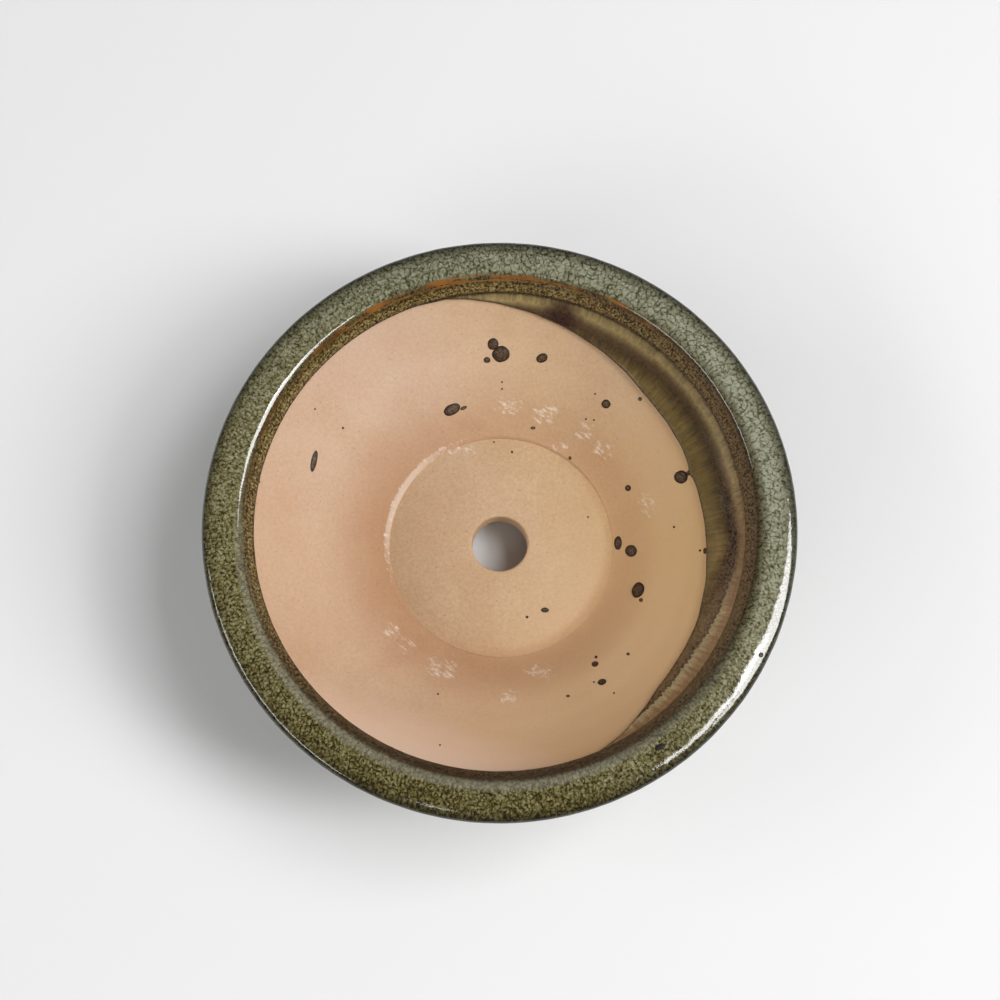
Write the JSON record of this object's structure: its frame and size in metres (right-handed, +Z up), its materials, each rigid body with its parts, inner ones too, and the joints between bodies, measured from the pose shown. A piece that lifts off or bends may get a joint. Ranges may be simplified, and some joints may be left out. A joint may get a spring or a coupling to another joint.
{
  "type": "round bonsai pot",
  "caption": "Shallow round stoneware bonsai pot with a thick rolled lip, dished clay inside, central drain hole, low feet and green crackled glaze outside.",
  "frame": {"origin": "on the surface that the pot stands on, under the middle of the pot", "axes": "+Z up along the pot's axis, -Y towards the front, where the first foot is, +X to the right, where the inside glaze runs deepest"},
  "size_m": [0.2, 0.2, 0.058],
  "materials": {
    "wall_clay": "unglazed fired stoneware, fine grain, matt pinkish beige",
    "slab_clay": "unglazed fired stoneware, slightly coarser and browner, matt",
    "foot_clay": "unglazed fired stoneware, matt, rubbed soles",
    "green_glaze": "olive green glossy glaze with dark crackle, breaking amber brown on edges"
  },
  "bodies": {
    "root": {"bowl_wall": "wall_clay", "lip_ring": "wall_clay", "floor_slab": "slab_clay", "foot_1": "foot_clay", "foot_2": "foot_clay", "foot_3": "foot_clay", "glaze_coat": "green_glaze"}
  },
  "joints": []
}
